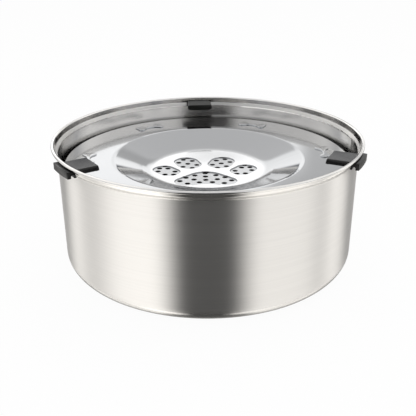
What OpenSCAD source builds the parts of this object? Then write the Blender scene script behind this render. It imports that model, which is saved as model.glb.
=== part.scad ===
// No-spill water bowl. A polished plate floats on the water inside a deep steel bowl, and three clips
// that pull out through windows in the lip keep the plate from being tipped or lifted out.
// The origin is the centre of the foot pad's underside, +Z is up, and one clip points along +Y.

/* [Bowl] */
// Outside diameter over the rolled rim
rim_d = 250; // [210:1:300]
// Height from the floor to the top of the rim
bowl_h = 104; // [90:1:130]
// Thickness of the bowl's sheet
bowl_t = 0.8; // [0.6:0.1:1.2]
// How far the wall's outside lies inside the rim's edge
wall_inset = 4.2; // [3.8:0.1:6]
// Outside radius of the corner between wall and base
base_r = 12; // [6:0.5:16]
// Diameter of the rolled bead
bead_d = 2.6; // [2:0.1:2.8]
// Depth of the upright lip, from the rim's top
lip_h = 4.9; // [3.2:0.1:6]
// Height of the sloped step between lip and wall
step_h = 2.5; // [2:0.1:5]
// Width of the sloped step
step_w = 1.9; // [1:0.1:2]
// Radius of the bends below and above the step
bend_r = 2; // [1.6:0.1:2.4]

/* [Base pad] */
// Diameter of the non-slip pad
pad_d = 190; // [120:1:196]
// Thickness of the pad
pad_t = 2.4; // [1.6:0.1:4]
// How far the pad stands out below the bowl
pad_stand = 0.8; // [0.4:0.1:1.4]
// Number of grip grooves in the pad's underside
pad_grooves = 3; // [1:1:5]
// Width of a grip groove
groove_w = 3; // [1:0.5:5]
// Depth of a grip groove
groove_depth = 0.6; // [0.3:0.1:1]

/* [Float plate] */
// Gap between the plate's edge and the bowl's wall
float_gap = 3; // [2:0.1:5]
// How far the plate's flat ring floats below the rim's top
plate_drop = 19; // [17:0.5:24]
// Thickness of the plate's sheet
plate_t = 0.7; // [0.5:0.1:1]
// Depth of the skirt turned down at the plate's edge
skirt_h = 6; // [5:0.5:9]
// Outside radius of the turned edge
edge_r = 2; // [1.4:0.1:3]
// Diameter of the dish at the flat ring
dish_d = 155.4; // [146:0.2:164]
// Diameter of the dish's floor where the slope meets it
dish_floor_d = 99; // [97:0.5:101]
// Depth of the dish
dish_depth = 10.5; // [9:0.5:12]
// Radius of the dish's upper edge
shoulder_r = 10; // [6:0.5:11]
// Radius between the dish's slope and floor
fillet_r = 30; // [20:1:32]

/* [Paw drain] */
// How far the paw lies to the right of the dish's centre
paw_x = -2.5; // [-3:0.5:3]
// Turn of the paw from the line to the back clip, in degrees
paw_turn = -2.5; // [-30:0.5:30]
// Depth that the paw's pads are pressed into the dish floor
paw_sink = 0.8; // [0.4:0.1:1.2]
// Diameter of a drain hole
hole_d = 4.4; // [3:0.1:4.6]
// Distance of a toe's ring of holes from the toe's edge
hole_inset = 3.5; // [3:0.1:4.5]
// Half width of an inner toe
toe_in_r = 10.6; // [10:0.1:11]
// Length of an inner toe over its width
toe_in_long = 7.6; // [5:0.1:8]
// Half width of an outer toe
toe_out_r = 9.4; // [8.8:0.1:9.6]
// Length of an outer toe over its width
toe_out_long = 7.2; // [5:0.1:7.6]
// Radius of the main pad's crown
crown_r = 17; // [16:0.5:18]
// Radius of the main pad's two lobes
lobe_r = 9; // [8:0.5:9.5]
// Step between the rows of holes in the main pad
fan_pitch = 7.4; // [7:0.1:7.4]

/* [Float shell] */
// Height of the float from the plate's flat ring to its bottom
float_h = 22; // [20:0.5:28]
// Wall of the moulded trough
shell_t = 1.6; // [1.2:0.1:2.4]
// Width of the flange under the plate's edge
flange_w = 3.5; // [3:0.1:5]
// Thickness of the flange
flange_t = 2; // [1.5:0.1:3]
// Radius of the trough's lower outside corner
shell_corner_r = 6; // [4:0.5:9]
// Diameter of the open well under the drain
well_d = 110; // [109:0.5:114]
// Thickness of the ring seals
seal_t = 1.4; // [1:0.1:2]
// Width of the ring seals
seal_w = 2.6; // [2:0.1:2.8]

/* [Float fasteners] */
// Number of screws that close the float
screw_count = 6; // [4:1:8]
// Diameter of a screw's shank
screw_d = 4; // [3:0.1:4.5]
// How far a screw reaches into its post
screw_reach = 8; // [5:0.5:9]
// Diameter of a screw's head
head_d = 7; // [6:0.1:8]
// Height of a screw's head
head_h = 2.4; // [1.6:0.1:3]
// Thickness of a sealing washer
washer_t = 1; // [0.6:0.1:1.4]
// Outside diameter of a boss
boss_d = 12; // [11.5:0.5:14]
// Height of a boss over the trough's bottom
boss_h = 10; // [8.5:0.5:12]
// Diameter of a welded post
post_d = 9; // [8:0.5:11]

/* [Clips] */
// Width of a clip's tongue
tongue_w = 23.5; // [18:0.5:25]
// Thickness of a clip's tongue
tongue_t = 4.2; // [4:0.1:5]
// Top of the tongue below the rim's top
tongue_drop = 3; // [2.95:0.05:3.4]
// How far the tongue reaches over the plate's edge
tongue_reach = 15.5; // [10:0.5:18]
// Corner radius of the tongue's end
tongue_corner_r = 2.5; // [2:0.5:6]
// Radius of the tongue's long edges
tongue_edge_r = 1.9; // [1:0.1:1.9]
// How far the tongue's end face leans
nose_lean = 1.2; // [0.5:0.1:3]
// Height of the stop lip under the tongue's end
stop_h = 0.7; // [0.5:0.1:1]
// How far the stop lip lies in from the tongue's sides
stop_inset = 3; // [2:0.5:6]
// Width of a clip's grip
grip_w = 26; // [25.5:0.5:32]
// How far the grip stands out past the rim's edge
grip_out = 2.7; // [2.5:0.1:6]
// Height of the grip
grip_h = 5; // [4.8:0.1:8]
// Corner radius of the grip
grip_corner_r = 2; // [1:0.1:3]
// Radius of the finger groove under the grip
groove_r = 1.2; // [1:0.1:1.4]
// Height of the finger groove
groove_h = 2.4; // [1.6:0.1:3]
// Thickness of the grip's outer plate
grip_plate_t = 3.2; // [3:0.1:4]

/* [Fits] */
// Clearance round a clip's tongue and grip
slide_gap = 0.3; // [0.2:0.05:0.4]
// Clearance of pieces that are fitted and stay put
fit_gap = 0.2; // [0.1:0.05:0.3]
// Radial clearance of a screw in its post
thread_gap = 0.05; // [0.02:0.01:0.1]
// Gap between the sloped faces of the dish, its seal and the well
seat_gap = 0.05; // [0.02:0.01:0.1]

/* [Hidden] */
$fn = 128;
CUT = 1;
// How far a straight side runs inside the arcs that it joins
TUCK = 0.05;
CLIP_ANGLES = [90, 210, 330];

// Bowl
rim_r = rim_d / 2;
bead_r = bead_d / 2;
wall_r = rim_r - wall_inset;
wall_in_r = wall_r - bowl_t;
bead_z = bowl_h - bead_r;
lip_z = bowl_h - lip_h;
step_z = lip_z - step_h;
lip_top_r = rim_r - bead_d + bowl_t;
step_angle = atan2(step_w, step_h);
lip_angle = atan2(lip_top_r - wall_r - step_w, bead_z - lip_z);
pad_r = pad_d / 2;
recess_r = pad_r + fit_gap;
floor_top_z = pad_t + bowl_t;

// Float plate
plate_r = wall_in_r - float_gap;
plate_z = bowl_h - plate_drop;
plate_under_z = plate_z - plate_t;
dish_r = dish_d / 2;
dish_floor_r = dish_floor_d / 2;
dish_z = plate_z - dish_depth;
dish_slope = atan2(dish_depth, dish_r - dish_floor_r);
shoulder_c = [dish_r + shoulder_r * tan(dish_slope / 2), plate_z - shoulder_r];
fillet_c = [dish_floor_r - fillet_r * tan(dish_slope / 2), dish_z + fillet_r];

// Paw drain, in the paw's own frame: the toes lean out from its middle line
toe_in_at = [14.3, 11.8];
toe_in_lean = -20;
toe_out_at = [31.8, -6];
toe_out_lean = -39;
crown_at = [0, -26];
lobe_at = [16, -30.5];
heel_r = 20;
heel_at = [0, -57];
// Rows of the main pad's fan, from the inside: angle over the row, and rise of the middle holes
fan_at = [0, -36.6];
fan_spreads = [88, 156, 135];
fan_rise = 3;

// Float shell
shell_z = plate_z - float_h;
well_r = well_d / 2;
flange_r = plate_r - plate_t - fit_gap;
shell_r = flange_r - flange_w;
flange_z = plate_under_z - seal_t;
seal_under = plate_t + seat_gap + seal_t;
well_rest = seal_under + seat_gap;

// Height at radius r of the dish's slope, moved down by off
function slope_z(r, off) = dish_z + (r - dish_floor_r) * tan(dish_slope) - off / cos(dish_slope);

// Float fasteners
screw_r = (plate_r + dish_r) / 2;
boss_z = shell_z + boss_h;
washer_d = head_d + 1;
recess_d = washer_d + 2 * fit_gap;
recess_h = washer_t + head_h + 0.8;
head_z = shell_z + recess_h - washer_t - head_h;
shank_z = head_z + head_h;
screw_len = boss_z + screw_reach - shank_z;
post_bore_h = screw_reach + 0.8;

// Clips
tongue_z = bowl_h - tongue_drop - tongue_t;
tongue_end_r = plate_r - tongue_reach;
grip_r = rim_r + grip_out;
grip_top_z = bowl_h - bead_d - slide_gap;
grip_z = grip_top_z - grip_h;
groove_at_r = grip_r - grip_plate_t - groove_r;
stop_r = tongue_end_r + 0.9;
stop_l = 1.2;

// Half section of everything inside the bowl's outer surface, moved outwards by grow
module bowl_region(grow) {
    r = wall_r + grow;
    corner = base_r + grow;
    z0 = pad_stand - grow;
    hollow_r = bend_r - grow;
    crest_r = bend_r + grow;
    hollow_l = hollow_r * tan(step_angle / 2);
    crest_l = crest_r * tan((step_angle - lip_angle) / 2);
    along_step = [sin(step_angle), cos(step_angle)];
    along_lip = [sin(lip_angle), cos(lip_angle)];
    step_foot = [r, step_z];
    step_top = [r + step_w, lip_z];
    bend_z = step_z - hollow_l;
    crest_from = step_top - crest_l * along_step;
    translate([0, z0]) square([r - corner, corner]);
    translate([r - corner, z0 + corner]) circle(r = corner);
    translate([0, z0 + corner]) square([r, bend_z - z0 - corner]);
    difference() {
        union() {
            polygon([
                [0, bend_z],
                [r, bend_z],
                step_foot + hollow_l * along_step,
                crest_from,
                step_top + crest_l * along_lip,
                [lip_top_r + grow, bead_z],
                [0, bead_z]
            ]);
            translate(crest_from + crest_r * [-along_step.y, along_step.x]) circle(r = crest_r);
        }
        translate([r + hollow_r, bend_z]) circle(r = hollow_r);
    }
}

// Half section of the bowl's sheet, with its raised floor over the pad and the rolled bead
module bowl_section() {
    difference() {
        union() {
            bowl_region(0);
            translate([rim_r - bead_r, bead_z]) circle(r = bead_r);
        }
        difference() {
            union() {
                bowl_region(-bowl_t);
                translate([0, bead_z]) square([lip_top_r - bowl_t, bead_r + CUT]);
            }
            square([recess_r + bowl_t, floor_top_z]);
        }
        square([recess_r, pad_t]);
    }
}

module bowl_shell() {
    window_w = tongue_w + 2 * slide_gap;
    window_t = tongue_t + 2 * slide_gap;
    color("silver") difference() {
        rotate_extrude() bowl_section();
        for (a = CLIP_ANGLES)
            rotate(a)
                translate([wall_in_r - window_w / 2, -window_w / 2, tongue_z - slide_gap])
                    cube([window_w, window_w, window_t]);
    }
}

module base_pad() {
    pitch = pad_r / (pad_grooves + 1);
    color("dimgray") difference() {
        cylinder(r = pad_r, h = pad_t);
        for (k = [1 : pad_grooves])
            translate([0, 0, -CUT]) difference() {
                cylinder(r = k * pitch + groove_w / 2, h = CUT + groove_depth);
                cylinder(r = k * pitch - groove_w / 2, h = CUT + groove_depth);
            }
    }
}

// Half section of everything under the plate's upper surface, moved down and in by off
module plate_region(off) {
    low = dish_z - 2 * shoulder_r;
    shoulder = shoulder_r - off;
    fillet = fillet_r + off;
    side = [sin(dish_slope), -cos(dish_slope)];
    difference() {
        union() {
            polygon([
                [0, low],
                [plate_r - off, low],
                [plate_r - off, plate_z - edge_r],
                [plate_r - edge_r, plate_z - off],
                [shoulder_c.x, plate_z - off],
                shoulder_c - shoulder * side,
                fillet_c + fillet * side,
                [fillet_c.x, dish_z - off],
                [0, dish_z - off]
            ]);
            translate(shoulder_c) circle(r = shoulder);
            translate([plate_r - edge_r, plate_z - edge_r]) circle(r = edge_r - off);
        }
        translate(fillet_c) circle(r = fillet);
    }
}

module plate_section() {
    difference() {
        plate_region(0);
        plate_region(plate_t);
        translate([shoulder_c.x, 0]) square([plate_r, plate_z - skirt_h]);
    }
}

// Outline of a toe, a circle of radius r drawn out by long, grown by grow
module toe_outline(r, long, grow) {
    for (s = [-1, 1])
        translate([0, s * long / 2]) circle(r = r + grow);
    square([2 * (r + grow - TUCK), long], center = true);
}

// Points where a line touches two circles on their upper sides, from the one at a to the one at b
function touch_line(a, ra, b, rb) =
    let (d = b - a)
    let (t = atan2(d.y, d.x) + acos((ra - rb) / norm(d)))
    [a + ra * [cos(t), sin(t)], b + rb * [cos(t), sin(t)]];

// Outline of the main pad: a crown and two lobes with straight sides between them and a hollow heel
module main_outline(grow) {
    line = touch_line(crown_at, crown_r + grow - TUCK, lobe_at, lobe_r + grow - TUCK);
    difference() {
        union() {
            translate(crown_at) circle(r = crown_r + grow);
            for (s = [0, 1])
                mirror([s, 0]) {
                    translate(lobe_at) circle(r = lobe_r + grow);
                    polygon([crown_at, line[0], line[1], lobe_at]);
                }
        }
        translate(heel_at) circle(r = heel_r - grow);
    }
}

// Places a child at a pair of toes, leaning outwards
module at_toes(at, lean) {
    for (s = [0, 1])
        mirror([s, 0]) translate(at) rotate(lean) children();
}

module paw_outline(grow) {
    at_toes(toe_in_at, toe_in_lean) toe_outline(toe_in_r, toe_in_long, grow);
    at_toes(toe_out_at, toe_out_lean) toe_outline(toe_out_r, toe_out_long, grow);
    main_outline(grow);
}

module toe_holes(r, long) {
    ring_r = r - hole_inset;
    for (k = [0 : 5]) {
        a = 30 + 60 * k;
        translate([ring_r * cos(a), (ring_r + long / 2) * sin(a)]) circle(d = hole_d);
    }
}

// Holes of the toes, and those of the main pad fanned out in rows
module paw_holes() {
    at_toes(toe_in_at, toe_in_lean) {
        toe_holes(toe_in_r, toe_in_long);
        circle(d = hole_d);
    }
    at_toes(toe_out_at, toe_out_lean) toe_holes(toe_out_r, toe_out_long);
    for (row = [1 : len(fan_spreads)])
        for (k = [-row : row]) {
            a = 90 + fan_spreads[row - 1] * k / (2 * row);
            r = row * fan_pitch + (k == 0 ? fan_rise : 0);
            translate(fan_at + r * [cos(a), sin(a)]) circle(d = hole_d);
        }
}

module at_paw() {
    translate([paw_x, 0]) rotate(paw_turn) children();
}

module float_plate() {
    paw_z = dish_z - paw_sink;
    color("gainsboro") difference() {
        union() {
            rotate_extrude() plate_section();
            translate([0, 0, paw_z - plate_t])
                linear_extrude(paw_sink + plate_t / 2) at_paw() paw_outline(plate_t);
        }
        translate([0, 0, paw_z]) linear_extrude(paw_sink + CUT) at_paw() paw_outline(0);
        translate([0, 0, paw_z - plate_t - CUT])
            linear_extrude(plate_t + 2 * CUT) at_paw() paw_holes();
    }
}

// Half section inside the trough's outer surface, moved inwards by inset
module trough_region(inset, top) {
    r0 = well_r + inset;
    r1 = shell_r - inset;
    z0 = shell_z + inset;
    corner = shell_corner_r - inset;
    translate([r0, z0]) square([r1 - corner - r0, corner]);
    translate([r1 - corner, z0 + corner]) circle(r = corner);
    translate([r0, z0 + corner]) square([r1 - r0, top - z0 - corner]);
}

// Trough with its outer flange, and with the well's wall cut to the slope of the dish above it
module trough_section() {
    r0 = well_r;
    r1 = well_r + seal_w + fit_gap;
    difference() {
        trough_region(0, flange_z);
        trough_region(shell_t, flange_z + CUT);
        polygon([
            [r0 - CUT, slope_z(r0 - CUT, well_rest)],
            [r1 + CUT, slope_z(r1 + CUT, well_rest)],
            [r1 + CUT, flange_z + CUT],
            [r0 - CUT, flange_z + CUT]
        ]);
    }
    translate([shell_r - shell_t, flange_z - flange_t]) square([flange_w + shell_t, flange_t]);
    polygon([
        [r0, slope_z(r0, well_rest) - flange_t],
        [r1, slope_z(r0, well_rest) - flange_t],
        [r1, slope_z(r1, well_rest)],
        [r0, slope_z(r0, well_rest)]
    ]);
}

module at_screws() {
    for (k = [0 : screw_count - 1])
        rotate(360 * (k + 0.5) / screw_count) translate([screw_r, 0, 0]) children();
}

module float_shell() {
    color([0.2, 0.2, 0.2]) difference() {
        union() {
            rotate_extrude() trough_section();
            at_screws() translate([0, 0, shell_z]) cylinder(d = boss_d, h = boss_h);
        }
        at_screws() translate([0, 0, shell_z - CUT]) {
            cylinder(d = recess_d, h = recess_h + CUT);
            cylinder(d = screw_d + 2 * fit_gap, h = boss_h + 2 * CUT);
        }
    }
}

module ring(r0, r1, z, h) {
    translate([0, 0, z]) difference() {
        cylinder(r = r1, h = h);
        translate([0, 0, -CUT]) cylinder(r = r0, h = h + 2 * CUT);
    }
}

module outer_seal() {
    r1 = plate_r - edge_r - fit_gap;
    color([0.25, 0.25, 0.25]) ring(r1 - seal_w, r1, flange_z, seal_t);
}

module inner_seal() {
    r0 = well_r + fit_gap;
    r1 = well_r + seal_w;
    color([0.25, 0.25, 0.25]) rotate_extrude() polygon([
        [r0, slope_z(r0, seal_under)],
        [r1, slope_z(r1, seal_under)],
        [r1, slope_z(r1, plate_t + seat_gap)],
        [r0, slope_z(r0, plate_t + seat_gap)]
    ]);
}

module plate_posts() {
    color("silver") at_screws() difference() {
        translate([0, 0, boss_z]) cylinder(d = post_d, h = plate_under_z - boss_z);
        translate([0, 0, boss_z - CUT])
            cylinder(d = screw_d + 2 * thread_gap, h = post_bore_h + CUT);
    }
}

module float_screws() {
    socket_d = head_d * 0.45;
    color("lightgray") at_screws() difference() {
        union() {
            translate([0, 0, head_z]) cylinder(d = head_d, h = head_h);
            translate([0, 0, shank_z]) cylinder(d = screw_d, h = screw_len);
        }
        translate([0, 0, head_z - CUT]) cylinder(d = socket_d, h = head_h / 2 + CUT, $fn = 6);
    }
}

module screw_seals() {
    color([0.25, 0.25, 0.25]) at_screws() ring(screw_d / 2 + fit_gap, washer_d / 2, shank_z, washer_t);
}

// Rectangle from x0 to x1 and as wide as w, with corners of radius r
module rounded_rect(x0, x1, w, r) {
    translate([x0 + r, -w / 2]) square([x1 - x0 - 2 * r, w]);
    translate([x0, r - w / 2]) square([x1 - x0, w - 2 * r]);
    for (x = [x0 + r, x1 - r], s = [-1, 1])
        translate([x, s * (w / 2 - r)]) circle(r = r);
}

// One clip along +X: tongue, stop lip and grip, with the finger groove from below
module clip() {
    root_r = grip_r - grip_plate_t / 2;
    lean_angle = atan2(nose_lean, tongue_t);
    stop_w = tongue_w - 2 * stop_inset;
    color([0.16, 0.16, 0.16]) difference() {
        union() {
            difference() {
                intersection() {
                    translate([0, 0, tongue_z]) linear_extrude(tongue_t)
                        rounded_rect(tongue_end_r, root_r, tongue_w, tongue_corner_r);
                    translate([root_r, 0, 0]) rotate([0, -90, 0]) linear_extrude(root_r - tongue_end_r)
                        rounded_rect(tongue_z, tongue_z + tongue_t, tongue_w, tongue_edge_r);
                }
                translate([tongue_end_r, -tongue_w / 2 - CUT, tongue_z]) rotate([0, lean_angle, 0])
                    translate([-tongue_t, 0, 0]) cube([tongue_t, tongue_w + 2 * CUT, 2 * tongue_t]);
            }
            translate([stop_r, -stop_w / 2, tongue_z - stop_h])
                cube([stop_l, stop_w, stop_h + tongue_t / 4]);
            difference() {
                intersection() {
                    translate([0, 0, grip_z]) linear_extrude(grip_h)
                        rounded_rect(wall_r - grip_corner_r, grip_r + grip_corner_r / 2, grip_w,
                                     grip_corner_r);
                    cylinder(r = grip_r, h = bowl_h);
                }
                rotate_extrude() bowl_region(slide_gap);
            }
        }
        translate([groove_at_r, 0, grip_z + groove_h - groove_r]) rotate([90, 0, 0])
            linear_extrude(grip_w + 2 * CUT, center = true) {
                circle(r = groove_r);
                translate([-groove_r, -groove_h - CUT]) square([2 * groove_r, groove_h + CUT]);
            }
    }
}

module clip_back() {
    rotate(CLIP_ANGLES[0]) clip();
}

module clip_left() {
    rotate(CLIP_ANGLES[1]) clip();
}

module clip_right() {
    rotate(CLIP_ANGLES[2]) clip();
}

bowl_shell();
base_pad();
float_plate();
float_shell();
outer_seal();
inner_seal();
plate_posts();
float_screws();
screw_seals();
clip_back();
clip_left();
clip_right();
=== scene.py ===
"""Looks of a no-spill water bowl: brushed steel bowl, polished floating plate and satin plastic clips."""

import logging
import math
from dataclasses import dataclass
from enum import Enum
from typing import Any, Sequence, Union

import bmesh
import bpy
from mathutils import Matrix, Vector


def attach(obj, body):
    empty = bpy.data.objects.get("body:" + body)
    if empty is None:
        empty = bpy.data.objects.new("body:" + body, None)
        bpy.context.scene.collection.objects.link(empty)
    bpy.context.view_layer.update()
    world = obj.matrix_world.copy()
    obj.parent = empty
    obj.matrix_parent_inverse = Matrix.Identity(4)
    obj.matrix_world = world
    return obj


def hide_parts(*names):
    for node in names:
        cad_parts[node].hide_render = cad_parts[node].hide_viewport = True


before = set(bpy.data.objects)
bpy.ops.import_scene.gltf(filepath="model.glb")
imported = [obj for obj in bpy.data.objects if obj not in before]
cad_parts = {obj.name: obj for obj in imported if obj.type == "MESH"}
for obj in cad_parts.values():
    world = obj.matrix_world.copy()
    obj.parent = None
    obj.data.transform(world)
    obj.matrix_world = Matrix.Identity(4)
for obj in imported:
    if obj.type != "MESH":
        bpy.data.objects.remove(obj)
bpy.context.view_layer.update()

LOG = logging.getLogger("water_bowl")
MM = 0.001
DEGREE = 180.0 / math.pi

Number = Union[int, float]
Colour = tuple[float, float, float]

WHITE: Colour = (1.0, 1.0, 1.0)
WARM: Colour = (1.0, 0.985, 0.96)
COOL: Colour = (0.97, 0.985, 1.02)
BLUE: Colour = (0.8, 0.86, 1.15)


def shade(colour: Colour, level: float) -> Colour:
    """Gives a colour times a level."""
    return tuple(level * c for c in colour)


class Body(Enum):
    """Moving bodies that a new piece can ride on."""

    FLOAT = "float"
    BACK = "back_clip"
    LEFT = "left_clip"
    RIGHT = "right_clip"


class Coat(Enum):
    """Record slots that the new pieces' finishes belong to."""

    PLATE = "plate_steel"
    CLIP = "clip_plastic"


class Sock:
    """A shader socket that can be used in Python expressions."""

    def __init__(self, net: "Net", socket: bpy.types.NodeSocket) -> None:
        """Wraps one output socket of a node net."""
        self.net = net
        self.socket = socket

    def _math(self, operation: str, *values: Any) -> "Sock":
        """Adds a Math node.

        Args:
            operation: Name of the Math node's operation.
            values: Its inputs, numbers or sockets.

        Returns:
            The node's value.
        """
        node = self.net.node("ShaderNodeMath", {"operation": operation}, dict(enumerate(values)))
        return node["Value"]

    def __add__(self, other: Any) -> "Sock":
        """Sum."""
        return self._math("ADD", self, other)

    def __radd__(self, other: Any) -> "Sock":
        """Sum with a number on the left."""
        return self._math("ADD", other, self)

    def __sub__(self, other: Any) -> "Sock":
        """Difference."""
        return self._math("SUBTRACT", self, other)

    def __rsub__(self, other: Any) -> "Sock":
        """Difference from a number."""
        return self._math("SUBTRACT", other, self)

    def __mul__(self, other: Any) -> "Sock":
        """Product."""
        return self._math("MULTIPLY", self, other)

    def __rmul__(self, other: Any) -> "Sock":
        """Product with a number on the left."""
        return self._math("MULTIPLY", other, self)

    def __neg__(self) -> "Sock":
        """Negative."""
        return self._math("MULTIPLY", self, -1.0)

    def sqrt(self) -> "Sock":
        """Square root."""
        return self._math("SQRT", self)

    def atan2(self, other: Any) -> "Sock":
        """Angle whose tangent is this over the other."""
        return self._math("ARCTAN2", self, other)

    def asin(self) -> "Sock":
        """Angle whose sine this is."""
        return self._math("ARCSINE", self)

    def step(self, low: Number, high: Number) -> "Sock":
        """Rises smoothly from 0 at low to 1 at high."""
        inputs = {"Value": self, "From Min": low, "From Max": high, "To Min": 0.0, "To Max": 1.0}
        return self.net.node("ShaderNodeMapRange", {"interpolation_type": "SMOOTHSTEP"}, inputs)["Result"]

    def edge(self, place: Number, soft: Number) -> "Sock":
        """Rises smoothly from 0 to 1 at a place, over a soft edge."""
        return self.step(place - soft, place + soft)

    def within(self, low: Number, high: Number, soft: Number) -> "Sock":
        """Gives 1 between low and high and 0 outside, over soft edges."""
        return self.edge(low, soft) * (1.0 - self.edge(high, soft))

    def blend(self, a: Any, b: Any) -> "Sock":
        """Goes from a where this is 0 to b where it is 1."""
        return self * b + (1.0 - self) * a

    def swing(self, size: Number) -> "Sock":
        """Makes noise from 0 to 1 a change of up to half a size, up or down."""
        return (self - 0.5) * size


class Made:
    """Outputs of a node that was just added, by name."""

    def __init__(self, net: "Net", node: bpy.types.Node) -> None:
        """Keeps the node and the net that it is in."""
        self.net = net
        self.raw = node

    def __getitem__(self, name: str) -> Sock:
        """Finds an enabled output.

        Args:
            name: Name of the output.

        Returns:
            Its socket.
        """
        for socket in self.raw.outputs:
            if socket.name == name and socket.enabled:
                return Sock(self.net, socket)
        raise KeyError(f"{self.raw.bl_idname} has no output {name}")


class Net:
    """A node tree that is filled from Python expressions."""

    def __init__(self, tree: bpy.types.NodeTree) -> None:
        """Empties the tree."""
        self.tree = tree
        tree.nodes.clear()

    def node(self, kind: str, settings: dict[str, Any], inputs: dict[Any, Any]) -> Made:
        """Adds a node.

        Args:
            kind: The node's type name.
            settings: Values of its properties, set first.
            inputs: Numbers, colours or sockets, by input name or place.

        Returns:
            The node's outputs.
        """
        node = self.tree.nodes.new(kind)
        for name, value in settings.items():
            setattr(node, name, value)
        for key, value in inputs.items():
            socket = self._input(node, key)
            if isinstance(value, Sock):
                self.tree.links.new(value.socket, socket)
            elif socket.type == "RGBA":
                socket.default_value = (*value, 1.0)
            else:
                socket.default_value = value
        return Made(self, node)

    @staticmethod
    def _input(node: bpy.types.Node, key: Any) -> bpy.types.NodeSocket:
        """Finds an input.

        Args:
            node: The node.
            key: Place of the input, or name of an enabled one.

        Returns:
            The input's socket.
        """
        if isinstance(key, int):
            return node.inputs[key]
        for socket in node.inputs:
            if socket.name == key and socket.enabled:
                return socket
        raise KeyError(f"{node.bl_idname} has no input {key}")

    def mix(self, factor: Any, a: Any, b: Any) -> Sock:
        """Mixes two colours.

        Args:
            factor: Share of the second colour.
            a: First colour.
            b: Second colour.

        Returns:
            The mixed colour.
        """
        node = self.node("ShaderNodeMix", {"data_type": "RGBA"}, {"Factor": factor, "A": a, "B": b})
        return node["Result"]

    def axes(self) -> tuple[Sock, Sock, Sock]:
        """Splits the object coordinates.

        Returns:
            X, Y and Z in metres.
        """
        place = self.node("ShaderNodeTexCoord", {}, {})["Object"]
        parts = self.node("ShaderNodeSeparateXYZ", {}, {"Vector": place})
        return parts["X"], parts["Y"], parts["Z"]

    def vector(self, x: Any, y: Any, z: Any) -> Sock:
        """Vector of three values."""
        return self.node("ShaderNodeCombineXYZ", {}, {"X": x, "Y": y, "Z": z})["Vector"]

    def noise(self, vector: Sock, scale: Number, detail: Number) -> Sock:
        """Noise from 0 to 1 at a vector."""
        inputs = {"Vector": vector, "Scale": scale, "Detail": detail}
        return self.node("ShaderNodeTexNoise", {}, inputs)["Fac"]

    def bump(self, height: Sock, strength: Number, distance: Number) -> Sock:
        """Normal of a surface raised by height."""
        inputs = {"Strength": strength, "Distance": distance, "Height": height}
        return self.node("ShaderNodeBump", {}, inputs)["Normal"]

    def principled(self, inputs: dict[str, Any]) -> Sock:
        """Surface shader with the given inputs."""
        return self.node("ShaderNodeBsdfPrincipled", {}, inputs)["BSDF"]


@dataclass(frozen=True)
class Finish:
    """Base of the finishes: makes a material from the shader that paint gives.

    Lengths are in metres. Runs, pitches and scales of noise are per metre.
    """

    name: str

    def make(self) -> bpy.types.Material:
        """Builds the material.

        Returns:
            The material.
        """
        material = bpy.data.materials.new(self.name)
        material.use_nodes = True
        net = Net(material.node_tree)
        net.node("ShaderNodeOutputMaterial", {}, {"Surface": self.paint(net)})
        return material

    def paint(self, net: Net) -> Sock:
        """Gives the surface shader."""
        raise NotImplementedError


@dataclass(frozen=True)
class BrushedSteel(Finish):
    """Satin steel brushed round the bowl's axis, smoother inside and on the rim."""

    tint: Colour = (0.72, 0.705, 0.68)
    streak_shade: float = 0.94
    streak_edges: tuple[float, float] = (0.3, 0.7)
    fine_run: float = 9.0
    fine_pitch: float = 1900.0
    fine_detail: float = 3.0
    fine_share: float = 0.65
    broad_run: float = 5.0
    broad_pitch: float = 330.0
    broad_detail: float = 2.0
    broad_share: float = 0.35
    pitch_lean: float = 0.7
    line_bump: float = 0.12
    line_depth: float = 0.04 * MM
    line_rough: float = 0.1
    drawn: float = 1.0
    drawn_turn: float = 0.25
    rough: float = 0.31
    inside_r: float = 120.4 * MM
    inside_blend: float = 0.1 * MM
    inside_rough: float = 0.17
    rim_z: float = 96.6 * MM
    rim_blend: float = 0.3 * MM
    rim_rough: float = 0.12
    ledge_top: float = 99.1 * MM
    ledge_lean: float = 0.76
    ledge_rough: float = 0.45

    def paint(self, net: Net) -> Sock:
        """Gives streaks that run round the axis, fine ones over broad ones.

        Args:
            net: The material's net.

        Returns:
            The surface shader.
        """
        x, y, z = net.axes()
        radius = (x * x + y * y).sqrt()
        across = z + radius * self.pitch_lean
        run, pitch = self.fine_run, self.fine_pitch
        fine = net.noise(net.vector(x * run, y * run, across * pitch), 1.0, self.fine_detail)
        run, pitch = self.broad_run, self.broad_pitch
        broad = net.noise(net.vector(x * run, y * run, across * pitch), 1.0, self.broad_detail)
        lines = fine * self.fine_share + broad * self.broad_share
        tone = net.mix(lines.step(*self.streak_edges), shade(self.tint, self.streak_shade), self.tint)
        return net.principled(
            {
                "Base Color": tone,
                "Metallic": 1.0,
                "Roughness": self.roughness(radius, z) + lines.swing(self.line_rough),
                "Anisotropic": self.drawn,
                "Anisotropic Rotation": self.drawn_turn,
                "Normal": net.bump(lines, self.line_bump, self.line_depth),
            }
        )

    def roughness(self, radius: Sock, z: Sock) -> Sock:
        """Gives the roughness of the wall, the inside, the rim and the ledge under the lip.

        Args:
            radius: Distance from the axis.
            z: Height.

        Returns:
            The roughness, before the streaks change it.
        """
        inside = 1.0 - radius.edge(self.inside_r, self.inside_blend)
        rim = z.edge(self.rim_z, self.rim_blend)
        leaned = radius - (z - self.rim_z) * self.ledge_lean
        inner = 1.0 - leaned.step(self.inside_r, self.inside_r + 2.0 * self.inside_blend)
        ledge = z.within(self.rim_z, self.ledge_top, self.rim_blend) * inner
        rough = rim.blend(inside.blend(self.rough, self.inside_rough), self.rim_rough)
        return ledge.blend(rough, self.ledge_rough)


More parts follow.
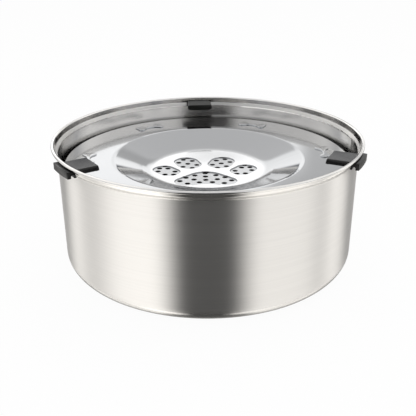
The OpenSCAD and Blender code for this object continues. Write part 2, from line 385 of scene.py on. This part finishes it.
@dataclass(frozen=True)
class PolishedSteel(Finish):
    """Polished steel with faint turning marks round the axis and a soft haze, with painted shade on the
    dish's slope and painted light on its floor.
    """

    tint: Colour = (0.462, 0.468, 0.476)
    # Painted shade: the dish's slope is tinted darker than the ring, not a different steel
    slope_painted_shade_tint: Colour = (0.4, 0.405, 0.412)
    # Painted light: the dish's floor is tinted lighter than the ring, not a different steel
    floor_tint: Colour = (0.6, 0.603, 0.608)
    rough: float = 0.09
    slope_rough: float = 0.07
    floor_rough: float = 0.14
    pad_rough: float = 0.2
    slope_r: float = 79.0 * MM
    slope_blend: float = 1.0 * MM
    floor_r: float = 47.0 * MM
    floor_blend: float = 3.0 * MM
    pad_z: float = 74.2 * MM
    pad_blend: float = 0.1 * MM
    turn_pitch: float = 900.0
    turn_run: float = 6.0
    turn_detail: float = 2.0
    turn_rough: float = 0.02
    turn_depth: float = 0.0015 * MM
    haze_scale: float = 22.0
    haze_detail: float = 3.0
    haze_edges: tuple[float, float] = (0.35, 0.7)
    haze_shade: float = 0.97
    haze_rough: float = 0.03
    sag: float = 2.3 * MM
    sag_r: float = 60.0 * MM

    def paint(self, net: Net) -> Sock:
        """Gives the ring, the slope, the floor and the pressed pads of the dish their own polish, with
        painted shade on the slope and painted light on the floor.

        Args:
            net: The material's net.

        Returns:
            The surface shader.
        """
        x, y, z = net.axes()
        radius = (x * x + y * y).sqrt()
        run = self.turn_run
        turned = net.noise(net.vector(radius * self.turn_pitch, x * run, y * run), 1.0, self.turn_detail)
        haze = net.noise(net.vector(x, y, z), self.haze_scale, self.haze_detail)
        ring = radius.edge(self.slope_r, self.slope_blend)
        floor = 1.0 - radius.edge(self.floor_r, self.floor_blend)
        pressed = 1.0 - z.edge(self.pad_z, self.pad_blend)
        tone = net.mix(haze.step(*self.haze_edges), shade(self.tint, self.haze_shade), self.tint)
        # Painted shade: the slope takes a darker tint than the ring
        tone = net.mix(1.0 - ring, tone, self.slope_painted_shade_tint)
        # Painted light: the floor takes a lighter tint than the ring
        tone = net.mix(floor * (1.0 - pressed), tone, self.floor_tint)
        rough = floor.blend(ring.blend(self.slope_rough, self.rough), self.floor_rough)
        rough = pressed.blend(rough, self.pad_rough)
        height = turned * self.turn_depth + radius.step(0.0, self.sag_r) * self.sag
        return net.principled(
            {
                "Base Color": tone,
                "Metallic": 1.0,
                "Roughness": rough + haze.swing(self.haze_rough) + turned.swing(self.turn_rough),
                "Normal": net.bump(height, 1.0, 1.0),
            }
        )


@dataclass(frozen=True)
class MouldedPlastic(Finish):
    """Moulded plastic with a fine spark-eroded grain."""

    tint: Colour = (0.011, 0.0107, 0.0102)
    rough: float = 0.24
    ior: float = 1.255
    grain_scale: float = 2600.0
    grain_rough: float = 0.14
    grain_bump: float = 0.3
    grain_depth: float = 0.05 * MM
    cloud_scale: float = 60.0
    cloud_edges: tuple[float, float] = (0.3, 0.7)
    cloud_shade: float = 0.88
    detail: float = 2.0

    def paint(self, net: Net) -> Sock:
        """Gives a fine grain and slight changes of tone.

        Args:
            net: The material's net.

        Returns:
            The surface shader.
        """
        place = net.vector(*net.axes())
        grain = net.noise(place, self.grain_scale, self.detail)
        cloud = net.noise(place, self.cloud_scale, self.detail)
        tone = net.mix(cloud.step(*self.cloud_edges), shade(self.tint, self.cloud_shade), self.tint)
        return net.principled(
            {
                "Base Color": tone,
                "Roughness": self.rough + grain.swing(self.grain_rough),
                "IOR": self.ior,
                "Normal": net.bump(grain, self.grain_bump, self.grain_depth),
            }
        )


@dataclass(frozen=True)
class SoftRubber(Finish):
    """Matt rubber with a soft bloom."""

    tint: Colour = (0.09, 0.09, 0.095)
    rough: float = 0.75
    bloom_scale: float = 45.0
    bloom_detail: float = 4.0
    bloom_edges: tuple[float, float] = (0.35, 0.75)
    bloom_light: float = 1.25
    bloom_rough: float = 0.15
    grain_scale: float = 1500.0
    grain_detail: float = 2.0
    grain_bump: float = 0.15
    grain_depth: float = 0.06 * MM

    def paint(self, net: Net) -> Sock:
        """Gives a dusty bloom over a fine grain.

        Args:
            net: The material's net.

        Returns:
            The surface shader.
        """
        place = net.vector(*net.axes())
        bloom = net.noise(place, self.bloom_scale, self.bloom_detail)
        grain = net.noise(place, self.grain_scale, self.grain_detail)
        tone = net.mix(bloom.step(*self.bloom_edges), self.tint, shade(self.tint, self.bloom_light))
        return net.principled(
            {
                "Base Color": tone,
                "Roughness": self.rough + bloom.swing(self.bloom_rough),
                "Normal": net.bump(grain, self.grain_bump, self.grain_depth),
            }
        )


class Assembly:
    """Base of the sub-assemblies: puts finishes on CAD nodes and adds new pieces to the scene."""

    @staticmethod
    def dress(node: str, material: bpy.types.Material) -> None:
        """Puts a material on every slot of a CAD node.

        Args:
            node: Name of the node.
            material: Its finish.
        """
        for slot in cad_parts[node].material_slots:
            slot.material = material
        LOG.info("dressed %s with %s", node, material.name)

    @staticmethod
    def add(
        name: str,
        mesh: bpy.types.Mesh,
        material: bpy.types.Material,
        body: Body,
        coat: Coat,
    ) -> bpy.types.Object:
        """Adds a new piece that rides on a body.

        Args:
            name: Name of the piece.
            mesh: Its shape, in the frame of the CAD.
            material: Its finish.
            body: What it moves with.
            coat: Record slot of its finish; not used.

        Returns:
            The piece.
        """
        mesh.materials.clear()
        mesh.materials.append(material)
        piece = bpy.data.objects.new(name, mesh)
        bpy.context.scene.collection.objects.link(piece)
        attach(piece, body.value)
        LOG.info("added %s with %d faces", name, len(mesh.polygons))
        return piece


@dataclass
class SteelBowl(Assembly):
    """Spun steel bowl on its rubber pad."""

    steel: BrushedSteel = BrushedSteel("brushed_steel")
    rubber: SoftRubber = SoftRubber("pad_rubber")

    def build(self) -> None:
        """Finishes the shell and the pad."""
        self.dress("bowl_shell", self.steel.make())
        self.dress("base_pad", self.rubber.make())


@dataclass
class FloatPlate(Assembly):
    """Polished plate with plain bones pressed up in its flat ring."""

    steel: PolishedSteel = PolishedSteel("polished_steel")
    ring_r: float = 98.0 * MM
    ring_z: float = 85.0 * MM
    bone_count: int = 6
    first_bone: float = math.radians(60.0)
    bar_half: tuple[float, float] = (7.0 * MM, 1.7 * MM)
    knob_at: tuple[float, float] = (9.6 * MM, 2.5 * MM)
    knob_r: float = 2.9 * MM
    knob_angles: tuple[float, ...] = (-20.0, 40.0, 95.0, 150.0)
    notch: float = 0.6
    rise: float = 0.9 * MM
    round_over: float = 0.5 * MM
    curve_steps: int = 5
    round_steps: int = 2
    weld: float = 0.01 * MM

    def build(self) -> None:
        """Finishes the plate and adds the bones."""
        steel = self.steel.make()
        self.dress("float_plate", steel)
        for k in range(self.bone_count):
            angle = self.first_bone + 2.0 * math.pi * k / self.bone_count
            self.add(f"bone_mark_{k + 1}", self.bone(angle), steel, Body.FLOAT, Coat.PLATE)

    def outline(self) -> list[tuple[float, float]]:
        """Lays out a bone's outline.

        Returns:
            Points from the right end, against the clock.
        """
        bar_x, bar_y = self.bar_half
        knob_x, knob_y = self.knob_at
        around = [math.radians(a) for a in self.knob_angles]
        knob = [(knob_x + self.knob_r * math.cos(a), knob_y + self.knob_r * math.sin(a)) for a in around]
        quarter = [(knob_x + self.notch * self.knob_r, 0.0), *knob, (bar_x - self.knob_r, bar_y)]
        upper = quarter + [(-x, y) for x, y in reversed(quarter)]
        lower = [(x, -y) for x, y in reversed(upper[1:-1])]
        return upper + lower

    def curve(self) -> bpy.types.Curve:
        """Draws a bone as a filled curve with a rounded edge.

        Returns:
            The curve.
        """
        curve = bpy.data.curves.new("bone", "CURVE")
        curve.dimensions = "2D"
        curve.fill_mode = "BOTH"
        curve.resolution_u = self.curve_steps
        curve.bevel_depth = self.round_over
        curve.bevel_resolution = self.round_steps
        curve.extrude = self.rise - self.round_over
        points = self.outline()
        spline = curve.splines.new("BEZIER")
        spline.bezier_points.add(len(points) - 1)
        for point, (x, y) in zip(spline.bezier_points, points):
            point.co = (x, y, 0.0)
            point.handle_left_type = "AUTO"
            point.handle_right_type = "AUTO"
        spline.use_cyclic_u = True
        return curve

    def bone(self, angle: float) -> bpy.types.Mesh:
        """Makes one bone, pressed up out of the ring.

        Args:
            angle: Place round the ring.

        Returns:
            The bone's mesh.
        """
        curve = self.curve()
        holder = bpy.data.objects.new("bone", curve)
        mesh = bpy.data.meshes.new_from_object(holder)
        bpy.data.objects.remove(holder)
        bpy.data.curves.remove(curve)
        form = bmesh.new()
        form.from_mesh(mesh)
        bmesh.ops.remove_doubles(form, verts=form.verts, dist=self.weld)
        bmesh.ops.recalc_face_normals(form, faces=form.faces)
        out = Matrix.Translation((0.0, self.ring_r, self.ring_z))
        turn = Matrix.Rotation(angle - math.pi / 2.0, 4, "Z")
        bmesh.ops.transform(form, matrix=turn @ out, verts=form.verts)
        for face in form.faces:
            face.smooth = True
        form.to_mesh(mesh)
        form.free()
        return mesh


@dataclass
class FloatChamber(Assembly):
    """Air chamber under the plate, with its seals and fasteners."""

    plastic: MouldedPlastic = MouldedPlastic("black_plastic", tint=(0.02, 0.02, 0.021), rough=0.4)
    seal: SoftRubber = SoftRubber("seal_rubber", tint=(0.03, 0.03, 0.03), rough=0.55)
    steel: PolishedSteel = PolishedSteel("bright_fasteners", tint=(0.6, 0.6, 0.6), rough=0.25)

    def build(self) -> None:
        """Finishes the chamber's pieces."""
        self.dress("float_shell", self.plastic.make())
        rubber = self.seal.make()
        for node in ("outer_seal", "inner_seal", "screw_seals"):
            self.dress(node, rubber)
        steel = self.steel.make()
        for node in ("plate_posts", "float_screws"):
            self.dress(node, steel)


@dataclass
class PullClips(Assembly):
    """Moulded clips that pull out through the lip, with softened edges."""

    plastic: MouldedPlastic = MouldedPlastic("charcoal_plastic")
    nodes: tuple[tuple[str, Body], ...] = (
        ("clip_back", Body.BACK),
        ("clip_left", Body.LEFT),
        ("clip_right", Body.RIGHT),
    )
    weld: float = 0.002 * MM
    flat_angle: float = math.radians(0.5)
    edge_angle: float = math.radians(40.0)
    edge_r: float = 0.35 * MM
    edge_steps: int = 2

    def build(self) -> None:
        """Makes each clip from its CAD solid."""
        plastic = self.plastic.make()
        for node, body in self.nodes:
            piece = self.add(f"{node}_moulding", self.moulding(node), plastic, body, Coat.CLIP)
            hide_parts(node)

    def moulding(self, node: str) -> bpy.types.Mesh:
        """Softens the edges of a copy of a clip's solid.

        Args:
            node: Name of the clip's node.

        Returns:
            The softened mesh.
        """
        form = bmesh.new()
        form.from_mesh(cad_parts[node].data)
        bmesh.ops.remove_doubles(form, verts=form.verts, dist=self.weld)
        bmesh.ops.dissolve_limit(form, angle_limit=self.flat_angle, verts=form.verts, edges=form.edges)
        sharp = [e for e in form.edges if e.is_manifold and e.calc_face_angle() > self.edge_angle]
        bmesh.ops.bevel(
            form,
            geom=sharp,
            offset=self.edge_r,
            offset_type="OFFSET",
            affect="EDGES",
            segments=self.edge_steps,
            profile=0.5,
            material=-1,
            clamp_overlap=True,
        )
        for face in form.faces:
            face.smooth = True
        mesh = bpy.data.meshes.new(f"{node}_moulding")
        form.to_mesh(mesh)
        form.free()
        mesh.set_sharp_from_angle(angle=self.edge_angle)
        return mesh


@dataclass(frozen=True)
class Panel:
    """A soft box or dark flag of the studio, in degrees round and above the bowl.

    The camera's side is 0, its right is 90, and the side behind the bowl is 180 or -180.
    """

    left: float
    right: float
    low: float
    high: float
    level: float
    soft: float = 6.0
    fade: float = 4.0
    tint: Colour = WHITE

    def mask(self, side: Sock, rise: Sock) -> Sock:
        """Gives 1 inside the panel and 0 outside it, with soft edges."""
        return side.within(self.left, self.right, self.soft) * rise.within(self.low, self.high, self.fade)

    def colour(self) -> Colour:
        """Gives the panel's light."""
        return shade(self.tint, self.level)


# An edge at this angle lies past every direction, so the panel has no edge there.
OPEN = 400.0

# Each panel covers those before it.
PANELS: tuple[Panel, ...] = (
    # Below and above the horizon
    Panel(-OPEN, OPEN, -OPEN, -2, 0.4, tint=WARM),
    Panel(-OPEN, OPEN, -2, OPEN, 0.9, tint=COOL),
    # Sides, high up
    Panel(84, 150, 24, 66, 1.25, soft=10),
    Panel(-150, -84, 24, 66, 1.25, soft=10),
    # Behind the bowl: what the plate mirrors
    Panel(-172, -138, 2, 62, 1.72, soft=5),
    Panel(138, 166, 0, 16, 1.5, soft=5),
    Panel(152, OPEN, 20, 66, 1.02, soft=5),
    Panel(-OPEN, -158, 25, 66, 1.02, soft=5),
    Panel(140, 175, 16, 30, 0.78, soft=4, fade=3),
    Panel(171, OPEN, 11, 20, 1.74, soft=1.5, fade=1.5),
    Panel(174.5, OPEN, 11, 24, 1.8, soft=2, fade=2),
    Panel(-OPEN, -163, 11, 27, 1.7, soft=3, fade=2),
    Panel(162, OPEN, -4, 11, 0.08, soft=4, fade=2, tint=BLUE),
    Panel(-OPEN, -160, -4, 11, 0.08, soft=4, fade=2, tint=BLUE),
    # In front and low: the stripes that the outer wall mirrors
    Panel(-128, 124, -OPEN, -4, 1.44, soft=4, tint=WARM),
    Panel(-110, 101, -OPEN, -4, 0.94, soft=5, tint=WARM),
    Panel(-84, 0, -OPEN, -4, 1.76, soft=16, tint=WARM),
    Panel(0, 85, -OPEN, -4, 1.42, soft=9, tint=WARM),
    Panel(-31, 30, -OPEN, 2, 0.09, soft=12, tint=WARM),
    Panel(-OPEN, OPEN, -OPEN, -73, 0.1),
    # In front and above: what the inner wall mirrors
    Panel(-100, 100, -2, 12, 0.16, soft=12, fade=2, tint=BLUE),
    Panel(-125, 125, 12, 26, 1.5, soft=12, fade=3),
    Panel(24, 125, 12, 26, 1.66, soft=12, fade=3),
    Panel(-110, 110, 26, 36, 1.0, soft=12, tint=COOL),
    # The dark side where the camera stands
    Panel(-36, 34, -4, 12, 0.06, soft=10, fade=2),
    Panel(-22, 21, -4, 34, 0.03, soft=9),
)


@dataclass
class Studio:
    """Camera, floor, lamp and surroundings.

    Lengths are in metres, the lens and the sensor in millimetres and the lamp's power in watts.
    """

    camera_at: tuple[float, float, float] = (-0.0351, -0.4786, 0.2517)
    camera_aim: tuple[float, float, float] = (0.0, 0.0, 0.0374)
    lens: float = 52.886
    sensor: float = 36.0
    clip_start: float = 0.01
    turn: float = math.radians(4.2)
    roll: float = math.radians(0.22)
    panels: Sequence[Panel] = PANELS
    bare_wall: Colour = (0.5, 0.5, 0.5)
    fill: Colour = (0.72, 0.72, 0.72)
    floor_half: float = 6.0
    floor_tint: Colour = (0.9, 0.9, 0.9)
    floor_glow: float = 0.95
    lamp_at: tuple[float, float, float] = (0.15, 0.2, 1.3)
    lamp_aim: tuple[float, float, float] = (0.0, 0.0, 0.05)
    lamp_size: float = 1.2
    lamp_power: float = 6.0

    def build(self) -> None:
        """Sets up everything round the bowl."""
        self.camera()
        self.surroundings()
        self.floor()
        self.lamp()
        bpy.context.scene.view_settings.view_transform = "Standard"

    def camera(self) -> None:
        """Makes the camera at the photograph's viewing angle."""
        data = bpy.data.cameras.new("camera")
        data.lens = self.lens
        data.sensor_width = self.sensor
        data.clip_start = self.clip_start
        data.dof.use_dof = False
        piece = bpy.data.objects.new("camera", data)
        piece.location = self.camera_at
        gaze = Vector(self.camera_aim) - Vector(self.camera_at)
        level = gaze.to_track_quat("-Z", "Y").to_matrix()
        piece.rotation_euler = (level @ Matrix.Rotation(-self.roll, 3, "Z")).to_euler()
        bpy.context.scene.collection.objects.link(piece)
        bpy.context.scene.camera = piece

    def surroundings(self) -> None:
        """Makes a white backdrop, with soft boxes and dark flags that only mirrors show."""
        world = bpy.data.worlds.new("studio")
        bpy.context.scene.world = world
        world.use_nodes = True
        net = Net(world.node_tree)
        ray = net.node("ShaderNodeTexCoord", {}, {})["Generated"]
        parts = net.node("ShaderNodeSeparateXYZ", {}, {"Vector": ray})
        cos, sin = math.cos(self.turn), math.sin(self.turn)
        x = parts["X"] * cos - parts["Y"] * sin
        y = parts["X"] * sin + parts["Y"] * cos
        side = x.atan2(-y) * DEGREE
        rise = parts["Z"].asin() * DEGREE
        seen: Any = self.bare_wall
        for panel in self.panels:
            seen = net.mix(panel.mask(side, rise), seen, panel.colour())
        path = net.node("ShaderNodeLightPath", {}, {})
        mirrored = net.mix(path["Is Glossy Ray"] + path["Is Transmission Ray"], self.fill, seen)
        colour = net.mix(path["Is Camera Ray"], mirrored, WHITE)
        back = net.node("ShaderNodeBackground", {}, {"Color": colour, "Strength": 1.0})
        net.node("ShaderNodeOutputWorld", {}, {"Surface": back["Background"]})

    def floor(self) -> None:
        """Makes a plain white floor that keeps a faint shadow."""
        form = bmesh.new()
        bmesh.ops.create_grid(form, x_segments=1, y_segments=1, size=self.floor_half)
        mesh = bpy.data.meshes.new("floor")
        form.to_mesh(mesh)
        form.free()
        piece = bpy.data.objects.new("floor", mesh)
        bpy.context.scene.collection.objects.link(piece)
        piece.visible_glossy = False
        material = bpy.data.materials.new("white_floor")
        material.use_nodes = True
        net = Net(material.node_tree)
        matt = net.node("ShaderNodeBsdfDiffuse", {}, {"Color": self.floor_tint})["BSDF"]
        glow = net.node("ShaderNodeEmission", {}, {"Color": WHITE, "Strength": 1.0})["Emission"]
        share = net.node("ShaderNodeLightPath", {}, {})["Is Camera Ray"] * self.floor_glow
        mixed = net.node("ShaderNodeMixShader", {}, {0: share, 1: matt, 2: glow})["Shader"]
        net.node("ShaderNodeOutputMaterial", {}, {"Surface": mixed})
        mesh.materials.append(material)

    def lamp(self) -> None:
        """Makes one large soft lamp over the bowl."""
        data = bpy.data.lights.new("overhead", "AREA")
        data.shape = "DISK"
        data.size = self.lamp_size
        data.energy = self.lamp_power
        piece = bpy.data.objects.new("overhead", data)
        piece.location = self.lamp_at
        beam = Vector(self.lamp_aim) - Vector(self.lamp_at)
        piece.rotation_euler = beam.to_track_quat("-Z", "Y").to_euler()
        piece.visible_glossy = False
        bpy.context.scene.collection.objects.link(piece)


def main() -> None:
    """Builds the studio and each sub-assembly in order."""
    logging.basicConfig(level=logging.INFO, format="%(name)s: %(message)s")
    for part in (Studio(), SteelBowl(), FloatPlate(), FloatChamber(), PullClips()):
        part.build()
        LOG.info("finished %s", type(part).__name__)


if __name__ == "__main__":
    main()
